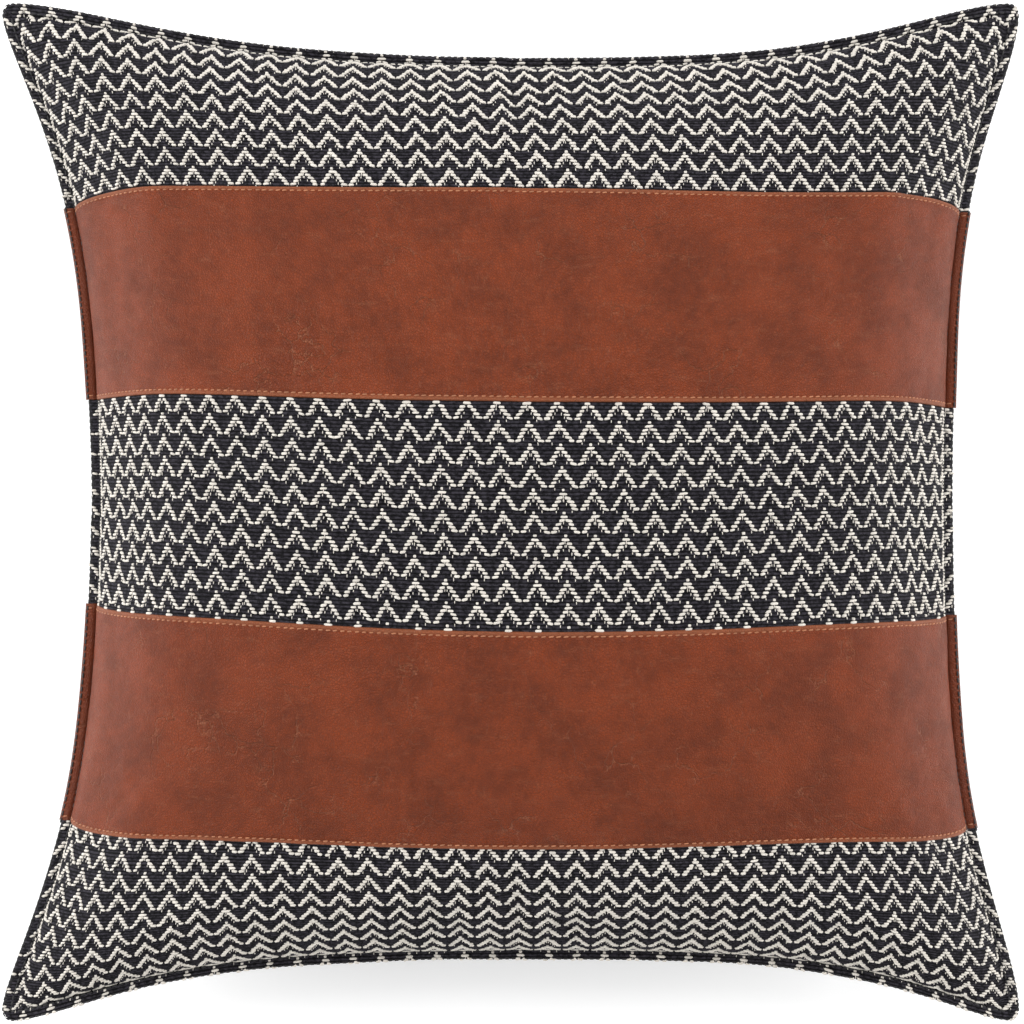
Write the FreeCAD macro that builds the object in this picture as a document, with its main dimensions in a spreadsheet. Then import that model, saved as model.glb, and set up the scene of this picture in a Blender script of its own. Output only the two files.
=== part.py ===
import FreeCAD, Part
import math
import os

# A square throw pillow, lying on its back: +Z is its thickness, +Y the top of the cover, +X its right.
# The origin is under the middle of it, on the surface that it rests on.
# The cover is two layers that meet at the seam plane: a front of five bands and a plain back with a zip.
# Both layers run on past the crease into a flat flange. Inside the cover is a ticking insert with its fill.

DOC = FreeCAD.newDocument("throw_pillow")
V = FreeCAD.Vector

SIZES = [
    # the outline of the cover, at the outer edge of its flange
    ("half_width", 251.0, "middle to the corners, along X"),
    ("half_height", 251.0, "middle to the corners, along Y"),
    ("corner_radius", 7.0, "corner of the flange"),
    ("least_radius", 1.5, "corner of any line inside the flange"),
    ("pull_left", 44.5, "how far the middle of the left side is drawn in"),
    ("pull_right", 32.9, "the same on the right side"),
    ("pull_top", 27.1, "the same on the top side"),
    ("pull_bottom", 30.5, "the same on the bottom side"),
    ("pull_reach", 0.34, "share of a half side over which it draws in"),
    ("pull_power", 1.45, "how gently the draw-in begins at a corner"),
    ("flange_width", 6.4, "crease to outer edge"),
    ("flange_root", 1.0, "how far the flange's layers run on inside the wall of the form"),
    ("ear_trim", 12.0, "filled form to the point of a corner, along its diagonal"),
    # thickness
    ("seam_height", 74.0, "seam plane above the resting surface"),
    ("front_rise", 88.0, "seam plane to the top of the front"),
    ("back_drop", 90.0, "depth of the back before the floor flattens it"),
    ("back_fullness", 3.0, "power of the back's section"),
    ("front_fullness", 2.0, "power of the front's section"),
    # cloth
    ("cover_cloth", 1.5, "cover, either layer"),
    ("ticking_cloth", 0.8, "insert's cloth"),
    ("insert_inset", 4.0, "cover to insert at the seam plane"),
    ("insert_gap_front", 0.5, "cover to insert at the top of the front"),
    ("insert_gap_back", 0.5, "cover to insert at the middle of the back"),
    ("fill_gap", 0.3, "ticking to fill"),
    ("thread", 0.4, "height of a row of stitching"),
    ("thread_width", 0.8, "width of a row of stitching"),
    ("allowance_outside", 0.6, "turned-in edges to the flange's outer edge"),
    ("allowance_inside", 2.8, "turned-in edges to the crease"),
    ("allowance_thickness", 0.8, "turned-in edges inside the flange"),
    # bands, as the heights of their edges above the middle
    ("upper_leather_top", 150.0, "upper leather's upper edge"),
    ("upper_leather_bottom", 53.0, "upper leather's lower edge"),
    ("lower_leather_top", -51.0, "lower leather's upper edge"),
    ("lower_leather_bottom", -150.0, "lower leather's lower edge"),
    ("topstitch_inset", 2.5, "stitch row to the leather's edge"),
    # zip, in its own frame: x along the zip, y towards the crease, z out of the back
    ("zip_seam", -186.0, "height of the zip's seam on the back"),
    ("zip_level", 23.0, "zip's tape above the resting surface"),
    ("zip_slope", 38.0, "slope of the back at the zip, degrees"),
    ("zip_length", 305.0, "end stop to end stop, over all"),
    ("tape_width", 11.0, "one tape"),
    ("tape_thickness", 0.6, "one tape"),
    ("tape_spare", 10.0, "tape past each end stop"),
    ("tape_gap", 1.8, "between the tapes, for the slider's post"),
    ("coil_radius", 0.9, "one coil"),
    ("slot_spare", 0.4, "cover to the outer edge of a tape"),
    ("slider_length", 10.0, "slider"),
    ("slider_width", 8.4, "slider"),
    ("slider_plate", 1.0, "each plate of the slider"),
    ("slider_play", 0.3, "slider to tape and coil"),
    ("post_width", 1.1, "slider's post"),
    ("bail_length", 6.4, "bail, along the zip"),
    ("bail_bar", 1.2, "bars of the bail"),
    ("bail_opening", 1.9, "under the bail"),
    ("pull_length", 15.0, "pull tab"),
    ("pull_breadth", 6.0, "pull tab"),
    ("pull_thickness", 1.2, "pull tab"),
    ("pull_eye_length", 3.8, "eye of the pull tab, along it"),
    ("pull_eye_breadth", 3.4, "eye of the pull tab, across it"),
    ("pull_end_bar", 1.2, "bar of the pull tab under the bail"),
    ("stop_length", 3.0, "end stop"),
    ("stop_width", 2.2, "each upper end stop"),
    ("stop_height", 2.0, "end stop"),
    # label
    ("label_width", 25.0, "care label"),
    ("label_drop", 30.0, "care label"),
    ("label_thickness", 0.5, "care label"),
    ("label_place", 120.0, "care label to the right of the middle"),
]

SHEET = DOC.addObject("Spreadsheet::Sheet", "sizes")
for row, (alias, value, meaning) in enumerate(SIZES, start=1):
    SHEET.set(f"A{row}", alias)
    SHEET.set(f"B{row}", str(value))
    SHEET.set(f"C{row}", meaning)
    SHEET.setAlias(f"B{row}", alias)
DOC.recompute()

SUB_PARTS = []
DOME_POINTS = 17
SIDE_POINTS = 15
BIG = 700.0


def size(alias):
    return float(SHEET.get(alias))


def sub_part(shape_object, node):
    """Marks an object of the document as one sub-part, named by its node."""
    shape_object.Label = node
    SUB_PARTS.append(shape_object)
    return shape_object


def bind(target, **expressions):
    for name, expression in expressions.items():
        target.setExpression(name.replace("__", "."), expression)
    return target


def add(kind, name, **expressions):
    return bind(DOC.addObject(kind, name), **expressions)


def feature(name, shape):
    """A free-form solid that no primitive or sketch gives."""
    made = DOC.addObject("Part::Feature", name)
    made.Shape = shape
    made.Placement = FreeCAD.Placement()
    return made


def boolean(kind, name, base, tool):
    made = DOC.addObject(kind, name)
    made.Base = base
    made.Tool = tool
    return made


def cut(name, base, tool):
    return boolean("Part::Cut", name, base, tool)


def common(name, base, tool):
    return boolean("Part::Common", name, base, tool)


def fuse(name, *pieces):
    made = DOC.addObject("Part::MultiFuse", name)
    made.Shapes = list(pieces)
    return made


def compound(name, *pieces):
    made = DOC.addObject("Part::Compound", name)
    made.Links = list(pieces)
    return made


# ---------------------------------------------------------------- the outline

def draw_in(share):
    """Share of the full draw-in at a point this share of the way from a corner to the middle of a side."""
    share = min(max(share, 0.0), 1.0)
    return 1.0 - math.exp(-((share / size("pull_reach")) ** size("pull_power")))


def side_offset(along, half, pull):
    """How far a side is drawn in at a place along it."""
    straight = half - size("corner_radius")
    return pull * draw_in((straight - abs(along)) / straight)


def plan_point(across, up, inset):
    """The square (-1..1, -1..1) laid into the outline of the cover, a given distance inside its edge."""
    half_x = size("half_width")
    half_y = size("half_height")
    left = -half_x + inset + side_offset(up * half_y, half_y, size("pull_left"))
    right = half_x - inset - side_offset(up * half_y, half_y, size("pull_right"))
    bottom = -half_y + inset + side_offset(across * half_x, half_x, size("pull_bottom"))
    top = half_y - inset - side_offset(across * half_x, half_x, size("pull_top"))
    x = left + (right - left) * (across + 1.0) / 2.0
    y = bottom + (top - bottom) * (up + 1.0) / 2.0
    return x, y


def outline(inset, radius, level):
    """Closed wire round the cover, a given distance inside its edge.
    It has four drawn-in sides, each a spline that starts and ends square, and four round corners."""
    half_x = size("half_width") - inset
    half_y = size("half_height") - inset
    pulls = {"right": size("pull_right"), "top": size("pull_top"),
             "left": size("pull_left"), "bottom": size("pull_bottom")}
    steps = [-1.0 + 2.0 * k / (SIDE_POINTS - 1) for k in range(SIDE_POINTS)]
    edges = []
    for name in ("right", "top", "left", "bottom"):
        upright = name in ("right", "left")
        half, out = (half_y, half_x) if upright else (half_x, half_y)
        straight = half - radius
        points = []
        for step in steps:
            along = step * straight
            away = out - pulls[name] * draw_in(1.0 - abs(step))
            point = {"right": (away, along), "top": (-along, away),
                     "left": (-away, -along), "bottom": (along, -away)}[name]
            points.append(V(point[0], point[1], level))
        curve = Part.BSplineCurve()
        tangent = points[1] - points[0]
        tangent = V(0, tangent.y, 0) if upright else V(tangent.x, 0, 0)
        curve.interpolate(Points=points, InitialTangent=tangent, FinalTangent=tangent)
        edges.append(curve.toShape())
    corners = [(1, 1), (-1, 1), (-1, -1), (1, -1)]
    arcs = []
    for sign_x, sign_y in corners:
        centre = V(sign_x * (half_x - radius), sign_y * (half_y - radius), level)
        diagonal = V(sign_x, sign_y, 0) * (radius / math.sqrt(2.0))
        beside = centre + V(sign_x * radius, 0, 0)
        above = centre + V(0, sign_y * radius, 0)
        arcs.append(Part.Arc(beside, centre + diagonal, above).toShape())
    order = [edge for pair in zip(edges, arcs) for edge in pair]
    return Part.Wire(Part.__sortEdges__(order))


def plate(name, inset, level, thickness):
    """Flat plate of the cover's outline, a given distance inside its edge."""
    radius = max(size("corner_radius") - inset, size("least_radius"))
    face = Part.Face(outline(inset, radius, level))
    return feature(name, face.extrude(V(0, 0, thickness)))


def ring(name, outer_inset, inner_inset, level, thickness):
    """Flat ring between two lines parallel to the cover's outline."""
    outer = plate(name + "_outer", outer_inset, level, thickness)
    inner = plate(name + "_inner", inner_inset, level, thickness)
    return cut(name, outer, inner)


def flange_layer(name, level):
    """One cloth layer of the flange, which runs on through the wall of the form."""
    inside = size("flange_width") + size("cover_cloth") + size("flange_root")
    layer = plate(name + "_outer", 0.0, level, size("cover_cloth"))
    middle = plate(name + "_inner", inside, level, size("cover_cloth"))
    middle.Shape = middle.Shape.common(diamond(inside))
    return cut(name, layer, middle)


# ---------------------------------------------------------------- the domes

def dome(name, inset, rise, fullness):
    """Solid pillow half on the seam plane, up for a positive rise and down for a negative one.
    Its sections are half ellipses of the given power, and both its width and its height
    follow the sine and cosine of the same angle, so that it meets the seam plane square on."""
    level = size("seam_height")
    rows = []
    for j in range(DOME_POINTS):
        up = math.sin(math.pi * (j / (DOME_POINTS - 1) - 0.5))
        row = []
        for i in range(DOME_POINTS):
            across = math.sin(math.pi * (i / (DOME_POINTS - 1) - 0.5))
            x, y = plan_point(across, up, inset)
            crown = (1.0 - abs(across) ** fullness) * (1.0 - abs(up) ** fullness)
            row.append(V(x, y, level + rise * math.sqrt(max(crown, 0.0))))
        rows.append(row)
    surface = Part.BSplineSurface()
    surface.interpolate(rows)
    top = surface.toShape()
    base = Part.Face(Part.Wire(Part.__sortEdges__(top.Edges)))
    solid = Part.makeSolid(Part.makeShell([top, base]))
    if solid.Volume < 0:
        solid.reverse()
    return feature(name, solid.common(diamond(inset)))


def diamond(inset):
    """Upright square block turned 45 degrees, whose sides cut off the four corners of a form."""
    reach = size("half_width") + size("half_height") - 2 * inset - size("ear_trim") * math.sqrt(2.0)
    side = reach * math.sqrt(2.0)
    block = Part.makeBox(side, side, 2 * BIG, V(-side / 2, -side / 2, -BIG))
    block.rotate(V(0, 0, 0), V(0, 0, 1), 45.0)
    return block


def slab(name, low_y, high_y, low_z, high_z):
    """Wide box between two heights of the cover; the limits are expressions of the sheet."""
    return add("Part::Box", name, Length=str(2 * BIG), Width=f"({high_y}) - ({low_y})",
               Height=f"({high_z}) - ({low_z})", Placement__Base__x=str(-BIG),
               Placement__Base__y=low_y, Placement__Base__z=low_z)


# ---------------------------------------------------------------- the cover's front

def band_limits():
    """The five bands of the front from the top down, each with the expressions of its edges."""
    edges = [str(BIG), "sizes.upper_leather_top", "sizes.upper_leather_bottom",
             "sizes.lower_leather_top", "sizes.lower_leather_bottom", str(-BIG)]
    names = ["front_upper_woven_band", "front_upper_leather_band", "front_middle_woven_band",
             "front_lower_leather_band", "front_lower_woven_band"]
    return zip(names, edges[:-1], edges[1:])


def build_front():
    cloth = size("cover_cloth")
    crease = size("flange_width")
    fullness = size("front_fullness")
    outer = dome("front_form", crease, size("front_rise"), fullness)
    inner = dome("front_hollow", crease + cloth, size("front_rise") - cloth, fullness)
    shell = cut("front_shell", outer, inner)
    level = size("seam_height") + size("allowance_thickness") / 2
    flange = flange_layer("front_flange", level)
    cover = fuse("front_cover", shell, flange)
    for name, high, low in band_limits():
        reach = slab(name + "_reach", low, high, "0", str(BIG))
        sub_part(common(name, cover, reach), name)


def build_topstitch():
    """Rows of thread that lie on the leather, just inside its long edges."""
    crease = size("flange_width")
    thread = size("thread")
    rise = size("front_rise")
    fullness = size("front_fullness")
    raised = dome("thread_form", crease - thread, rise + thread, fullness)
    bed = dome("thread_bed", crease, rise, fullness)
    skin = cut("thread_skin", raised, bed)
    for band in ("upper", "lower"):
        rows = []
        for side, sign in (("top", "-"), ("bottom", "+")):
            middle = f"sizes.{band}_leather_{side} {sign} sizes.topstitch_inset"
            name = f"{band}_{side}_row"
            reach = slab(name + "_reach", f"{middle} - sizes.thread_width / 2",
                         f"{middle} + sizes.thread_width / 2",
                         "sizes.seam_height + 2 * sizes.cover_cloth", str(BIG))
            rows.append(common(name, skin, reach))
        sub_part(compound(f"{band}_leather_topstitch", *rows), f"{band}_leather_topstitch")


def build_flange_insides():
    """The two rows of thread round the flange, and the turned-in edges between its layers."""
    crease = size("flange_width")
    allowance = size("allowance_thickness")
    bottom = size("seam_height") - allowance / 2
    top = bottom + allowance + size("cover_cloth")
    width = size("thread_width")
    inner = ring("flange_inner_topstitch", crease - 4 * width, crease - 3 * width, top, size("thread"))
    outer = ring("flange_outer_topstitch", width, 2 * width, top, size("thread"))
    turned = ring("seam_allowance", size("allowance_outside"), crease - size("allowance_inside"),
                  bottom, allowance)
    for made in (inner, outer, turned):
        sub_part(made, made.Name)


# ---------------------------------------------------------------- the cover's back

def half_below(name, inset, drop, floor):
    """The back's half of a pillow form, flattened at a height above the resting surface."""
    form = dome(name + "_dome", inset, -drop, size("back_fullness"))
    reach = slab(name + "_reach", str(-BIG), str(BIG), floor, "sizes.seam_height")
    return common(name, form, reach)


def build_back():
    cloth = size("cover_cloth")
    crease = size("flange_width")
    outer = half_below("back_form", crease, size("back_drop"), "0")
    inner = half_below("back_hollow", crease + cloth, size("back_drop") - cloth, "sizes.cover_cloth")
    shell = cut("back_shell", outer, inner)
    level = size("seam_height") - size("allowance_thickness") / 2 - cloth
    flange = flange_layer("back_flange", level)
    whole = fuse("back_whole", shell, flange)
    half_slot = "(sizes.tape_gap / 2 + sizes.tape_width + sizes.slot_spare)"
    half_run = "(sizes.zip_length / 2 + sizes.tape_spare + sizes.slot_spare)"
    slot = zip_box("zip_slot", f"2 * {half_run}", f"2 * {half_slot}", "40", "0", "0", "0")
    cover = cut("back_cover", whole, slot)
    upper = slab("back_panel_reach", "sizes.zip_seam", str(BIG), "0", "sizes.seam_height")
    lower = slab("back_zip_strip_reach", str(-BIG), "sizes.zip_seam", "0", "sizes.seam_height")
    sub_part(common("back_panel", cover, upper), "back_panel")
    sub_part(common("back_zip_strip", cover, lower), "back_zip_strip")


def build_label():
    """Blank label sewn under the flange of the lower edge, hanging beside the back."""
    label = add("Part::Box", "care_label", Length="sizes.label_width", Width="sizes.label_thickness",
                Height="sizes.label_drop")
    side = size("half_width")
    across = size("label_place") / side
    edge = plan_point(across, -1.0, size("flange_width") / 2)[1]
    bottom = size("seam_height") - size("allowance_thickness") / 2 - size("cover_cloth")
    place = V(size("label_place") - size("label_width") / 2, edge - size("label_thickness") / 2,
              bottom - size("label_drop"))
    label.Placement = FreeCAD.Placement(place, FreeCAD.Rotation())
    sub_part(label, "care_label")


# ---------------------------------------------------------------- the zip

ZIP_TURN = "(180 - sizes.zip_slope)"
CLOSED_PLACE = "(sizes.zip_length / 2 - sizes.stop_length - sizes.slider_play - sizes.slider_length / 2)"
COIL_TOP = "(sizes.tape_thickness / 2 + 2 * sizes.coil_radius)"
PLATE_TOP = f"({COIL_TOP} + sizes.slider_play + sizes.slider_plate)"
HINGE_RISE = f"({PLATE_TOP} + sizes.slider_play + sizes.pull_thickness / 2)"


def on_slope(piece, x, y, z):
    """Lays a piece in the zip's frame with its own origin at x, y, z there, given as expressions."""
    piece.Placement = FreeCAD.Placement(V(), FreeCAD.Rotation(V(1, 0, 0), 180.0 - size("zip_slope")))
    cosine = f"cos({ZIP_TURN} * 1 deg)"
    sine = f"sin({ZIP_TURN} * 1 deg)"
    return bind(piece, Placement__Base__x=x,
                Placement__Base__y=f"sizes.zip_seam + ({y}) * {cosine} - ({z}) * {sine}",
                Placement__Base__z=f"sizes.zip_level + ({y}) * {sine} + ({z}) * {cosine}")


def zip_box(name, length, width, height, x, y, z):
    """Box in the zip's frame, given by its size and the place of its middle."""
    box = add("Part::Box", name, Length=length, Width=width, Height=height)
    return on_slope(box, f"({x}) - ({length}) / 2", f"({y}) - ({width}) / 2", f"({z}) - ({height}) / 2")


def build_tapes_and_coils():
    for name, sign in (("upper", "-"), ("lower", "+")):
        tape = zip_box(f"zipper_tape_{name}", "sizes.zip_length + 2 * sizes.tape_spare", "sizes.tape_width",
                       "sizes.tape_thickness", "0",
                       f"{sign}(sizes.tape_gap + sizes.tape_width) / 2", "0")
        sub_part(tape, f"zipper_tape_{name}")
        coil = add("Part::Cylinder", f"zipper_coil_{name}", Radius="sizes.coil_radius",
                   Height="sizes.zip_length - 2 * sizes.stop_length")
        on_slope(coil, "-sizes.zip_length / 2 + sizes.stop_length",
                 f"{sign}(sizes.tape_gap / 2 + sizes.coil_radius)",
                 "sizes.tape_thickness / 2 + sizes.coil_radius")
        along = FreeCAD.Rotation(V(0, 1, 0), 90.0)
        coil.Placement = FreeCAD.Placement(coil.Placement.Base, coil.Placement.Rotation.multiply(along))
        sub_part(coil, f"zipper_coil_{name}")


def build_end_stops():
    height = "sizes.tape_thickness / 2 + sizes.stop_height / 2"
    place = "sizes.zip_length / 2 - sizes.stop_length / 2"
    aside = "(sizes.tape_gap + sizes.stop_width) / 2"
    uppers = [zip_box(f"upper_stop_{k}", "sizes.stop_length", "sizes.stop_width", "sizes.stop_height",
                      place, f"{sign}{aside}", height) for k, sign in enumerate(("", "-"))]
    bottom = zip_box("bottom_stop", "sizes.stop_length", "2 * sizes.stop_width + sizes.tape_gap",
                     "sizes.stop_height", f"-({place})", "0", height)
    sub_part(compound("zipper_end_stops", bottom, *uppers), "zipper_end_stops")


def build_slider():
    """Two plates joined by a post that runs between the tapes, with a bail over the outer plate."""
    under = "-(sizes.tape_thickness / 2 + sizes.slider_play)"
    channel = f"({COIL_TOP} + sizes.tape_thickness / 2 + 2 * sizes.slider_play)"
    inner = zip_box("inner_plate", "sizes.slider_length", "sizes.slider_width", "sizes.slider_plate",
                    CLOSED_PLACE, "0", f"{under} - sizes.slider_plate / 2")
    outer = zip_box("outer_plate", "sizes.slider_length", "sizes.slider_width", "sizes.slider_plate",
                    CLOSED_PLACE, "0", f"{PLATE_TOP} - sizes.slider_plate / 2")
    post = zip_box("post", "sizes.slider_length / 2", "sizes.post_width", f"{channel} + sizes.slider_plate",
                   CLOSED_PLACE, "0", f"{under} + {channel} / 2")
    leg_height = "(sizes.bail_opening + sizes.slider_plate / 2)"
    legs = [zip_box(f"bail_leg_{k}", "sizes.bail_bar", "sizes.bail_bar * 2", leg_height,
                    f"{CLOSED_PLACE} {sign} (sizes.bail_length - sizes.bail_bar) / 2", "0",
                    f"{PLATE_TOP} - sizes.slider_plate / 2 + {leg_height} / 2")
            for k, sign in enumerate(("+", "-"))]
    bar = zip_box("bail_top", "sizes.bail_length", "sizes.bail_bar * 2", "sizes.bail_bar", CLOSED_PLACE, "0",
                  f"{PLATE_TOP} + sizes.bail_opening + sizes.bail_bar / 2")
    sub_part(fuse("zipper_slider", inner, outer, post, bar, *legs), "zipper_slider")


def build_pull_tab():
    """Flat tab hanging from the bail; the round bar at the end of its eye runs through the bail."""
    length = "(sizes.pull_length - sizes.pull_end_bar / 2)"
    body = zip_box("pull_body", "sizes.pull_thickness", "sizes.pull_breadth", length,
                   CLOSED_PLACE, "0", f"{HINGE_RISE} + {length} / 2")
    bar = add("Part::Cylinder", "pull_bar", Radius="sizes.pull_end_bar / 2", Height="sizes.pull_breadth")
    on_slope(bar, CLOSED_PLACE, "-sizes.pull_breadth / 2", HINGE_RISE)
    across = FreeCAD.Rotation(V(1, 0, 0), -90.0)
    bar.Placement = FreeCAD.Placement(bar.Placement.Base, bar.Placement.Rotation.multiply(across))
    eye = zip_box("pull_eye", "3 * sizes.pull_thickness", "sizes.pull_eye_breadth", "sizes.pull_eye_length",
                  CLOSED_PLACE, "0", f"{HINGE_RISE} + (sizes.pull_end_bar + sizes.pull_eye_length) / 2")
    rounded = fuse("pull_rounded", body, bar)
    sub_part(cut("zipper_pull_tab", rounded, eye), "zipper_pull_tab")


# ---------------------------------------------------------------- the insert

def build_insert():
    """The insert's two cloths and the fill inside, each clear of its neighbours."""
    inset = size("flange_width") + size("cover_cloth") + size("insert_inset")
    cloth = size("ticking_cloth")
    gap = size("fill_gap")
    rise = size("front_rise") - size("cover_cloth") - size("insert_gap_front")
    drop = size("seam_height") - size("cover_cloth") - size("insert_gap_back")
    sides = (("front", rise, 1, size("front_fullness")), ("back", drop, -1, size("back_fullness")))
    halves = []
    for side, height, sign, fullness in sides:
        name = f"insert_{side}_ticking"
        outer = dome(f"insert_{side}_form", inset, sign * height, fullness)
        inner = dome(f"insert_{side}_hollow", inset + cloth, sign * (height - cloth), fullness)
        sub_part(cut(name, outer, inner), name)
        fill_inset = inset + (1.0 if sign > 0 else 2.0) * cloth + gap
        halves.append(dome(f"fill_{side}", fill_inset, sign * (height - cloth - gap), fullness))
    sub_part(fuse("insert_fill", *halves), "insert_fill")


# ---------------------------------------------------------------- check and export

def check_document():
    DOC.recompute()
    for made in DOC.Objects:
        if "Invalid" in made.State or "Error" in made.State:
            raise RuntimeError(f"{made.Name} failed: {made.State}")
    for made in SUB_PARTS:
        if made.Shape.isNull() or not made.Shape.isValid():
            raise RuntimeError(f"{made.Label} has no valid shape")


def export():
    os.makedirs("parts", exist_ok=True)
    for made in SUB_PARTS:
        made.Shape.exportStep(f"parts/{made.Label}.step")
        box = made.Shape.optimalBoundingBox()
        print(f"{made.Label:28s} {len(made.Shape.Solids):2d} solids {made.Shape.Volume / 1000:10.2f} cm3"
              f"  x {box.XMin:7.1f} {box.XMax:7.1f}  y {box.YMin:7.1f} {box.YMax:7.1f}"
              f"  z {box.ZMin:6.1f} {box.ZMax:6.1f}")


build_front()
build_topstitch()
build_flange_insides()
build_back()
build_label()
build_tapes_and_coils()
build_end_stops()
build_slider()
build_pull_tab()
build_insert()
check_document()
export()
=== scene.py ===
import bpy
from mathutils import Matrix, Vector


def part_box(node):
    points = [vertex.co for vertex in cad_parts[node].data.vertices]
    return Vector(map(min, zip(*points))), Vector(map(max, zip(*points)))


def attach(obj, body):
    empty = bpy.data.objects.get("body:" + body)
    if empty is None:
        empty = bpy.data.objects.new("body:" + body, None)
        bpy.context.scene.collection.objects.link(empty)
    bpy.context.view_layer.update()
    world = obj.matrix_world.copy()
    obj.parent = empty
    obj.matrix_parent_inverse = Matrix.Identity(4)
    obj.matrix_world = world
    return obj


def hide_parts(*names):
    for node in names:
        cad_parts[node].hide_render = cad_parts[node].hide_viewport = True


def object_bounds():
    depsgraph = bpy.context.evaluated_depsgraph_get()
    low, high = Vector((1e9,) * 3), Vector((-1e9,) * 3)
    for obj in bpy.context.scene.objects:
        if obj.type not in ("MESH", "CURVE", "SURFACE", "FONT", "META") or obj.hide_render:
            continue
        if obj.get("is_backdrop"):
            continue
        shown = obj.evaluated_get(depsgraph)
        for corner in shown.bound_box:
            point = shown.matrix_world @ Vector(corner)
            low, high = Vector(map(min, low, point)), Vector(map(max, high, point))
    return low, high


bl_info = {
    "name": "Banded throw pillow",
    "version": (1, 0, 0),
    "blender": (4, 5, 0),
    "location": "View3D > Sidebar > Pillow",
    "description": "Builds a square throw pillow of woven zigzag and leather bands around its packed frame",
    "category": "Object",
}

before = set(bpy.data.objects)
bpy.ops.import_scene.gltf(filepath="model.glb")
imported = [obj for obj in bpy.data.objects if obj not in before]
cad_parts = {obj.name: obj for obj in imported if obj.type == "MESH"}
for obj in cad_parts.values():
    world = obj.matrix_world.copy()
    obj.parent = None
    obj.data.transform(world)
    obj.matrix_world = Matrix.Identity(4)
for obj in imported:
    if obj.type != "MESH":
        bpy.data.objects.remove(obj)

import math

import bpy
import numpy as np
from bpy.props import FloatProperty, FloatVectorProperty, IntProperty, PointerProperty
from mathutils import Vector

CAD_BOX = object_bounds()
MM = 0.001


def node_box(node):
    """Low and high corner of a node of the frame, as arrays."""
    low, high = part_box(node)
    return np.array(low), np.array(high)


HALF_WIDTH = (CAD_BOX[1][0] - CAD_BOX[0][0]) / 2
HALF_HEIGHT = (CAD_BOX[1][1] - CAD_BOX[0][1]) / 2
SEAM_LEVEL = float(sum(corner[2] for corner in node_box("seam_allowance")) / 2)
FRONT_RISE = CAD_BOX[1][2] - SEAM_LEVEL
TAPE_LOW, TAPE_HIGH = node_box("zipper_tape_upper")
STRIP_TAPE_LOW, STRIP_TAPE_HIGH = node_box("zipper_tape_lower")


# ---------------------------------------------------------------- sizes and colours that a user changes

class PillowSizes(bpy.types.PropertyGroup):
    flange: FloatProperty(name="Flange", description="Crease to outer edge", default=6.4 * MM, unit="LENGTH")
    cover: FloatProperty(name="Cover", description="Side of the flat cover", default=508 * MM, unit="LENGTH")
    tip_round: FloatProperty(name="Corner", description="Radius of the corners", default=7 * MM,
                             unit="LENGTH")
    pull_left: FloatProperty(name="Left draw-in", description="How far the left side's middle is drawn in",
                             default=45.0 * MM, unit="LENGTH")
    pull_right: FloatProperty(name="Right draw-in", description="How far the right side's middle is drawn in",
                              default=32.9 * MM, unit="LENGTH")
    pull_top: FloatProperty(name="Top draw-in", description="How far the top side's middle is drawn in",
                            default=27.1 * MM, unit="LENGTH")
    pull_bottom: FloatProperty(name="Bottom draw-in",
                               description="How far the bottom side's middle is drawn in",
                               default=30.5 * MM, unit="LENGTH")
    back_drop: FloatProperty(name="Back", description="Depth of the back before the floor flattens it",
                             default=90 * MM, unit="LENGTH")
    puff: FloatProperty(name="Swelling", description="Most that the filling moves the cloth", default=4 * MM,
                        unit="LENGTH")
    repeat_across: FloatProperty(name="Zigzag width", description="One zigzag", default=13.75 * MM,
                                 unit="LENGTH")
    repeat_up: FloatProperty(name="Zigzag height", description="One zigzag row", default=10.05 * MM,
                             unit="LENGTH")
    start_across: FloatProperty(name="First tip across", description="A zigzag's tip, from the middle",
                                default=4.8 * MM, unit="LENGTH")
    start_up: FloatProperty(name="First tip up", description="A zigzag's tip, from the middle",
                            default=1.4 * MM, unit="LENGTH")
    leather: FloatProperty(name="Leather", description="Thickness of the leather", default=1.1 * MM,
                           unit="LENGTH")
    stitch: FloatProperty(name="Stitch", description="Length of a stitch and its gap", default=3.4 * MM,
                          unit="LENGTH")
    seed: IntProperty(name="Seed", description="Seed of the yarns' unevenness", default=7)


def colour(name, description, value):
    """A colour that the user picks."""
    return FloatVectorProperty(name=name, description=description, subtype="COLOR", size=3, min=0, max=1,
                               default=value)


class PillowColours(bpy.types.PropertyGroup):
    leather: colour("Leather", "Main colour of the leather", (0.197, 0.0325, 0.0050))
    leather_pale: colour("Scuffs", "Rubbed places of the leather", (0.290, 0.094, 0.042))
    leather_edge: colour("Cut edge", "Cut edge of the leather", (0.36, 0.13, 0.06))
    yarn_dark: colour("Ground yarn", "Dark yarn of the ground", (0.0165, 0.0150, 0.0190))
    yarn_pale: colour("Zigzag yarn", "Pale yarn of the zigzags", (0.97, 0.92, 0.84))
    thread: colour("Leather thread", "Thread of the leather's topstitching", (0.37, 0.145, 0.065))
    back: colour("Back", "Cloth of the back", (0.022, 0.021, 0.024))


# ---------------------------------------------------------------- numbers

def smooth(value, low, high):
    """0 below low, 1 above high, and a cubic ease between."""
    share = np.clip((value - low) / (high - low), 0.0, 1.0)
    return share * share * (3.0 - 2.0 * share)


def cubic_weights(f):
    """Catmull-Rom weights of the four grid lines round a place a share f of the way along the middle span."""
    return np.stack([((-f + 2) * f - 1) * f / 2, ((3 * f - 5) * f * f + 2) / 2,
                     ((-3 * f + 4) * f + 1) * f / 2, (f - 1) * f * f / 2])


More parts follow.
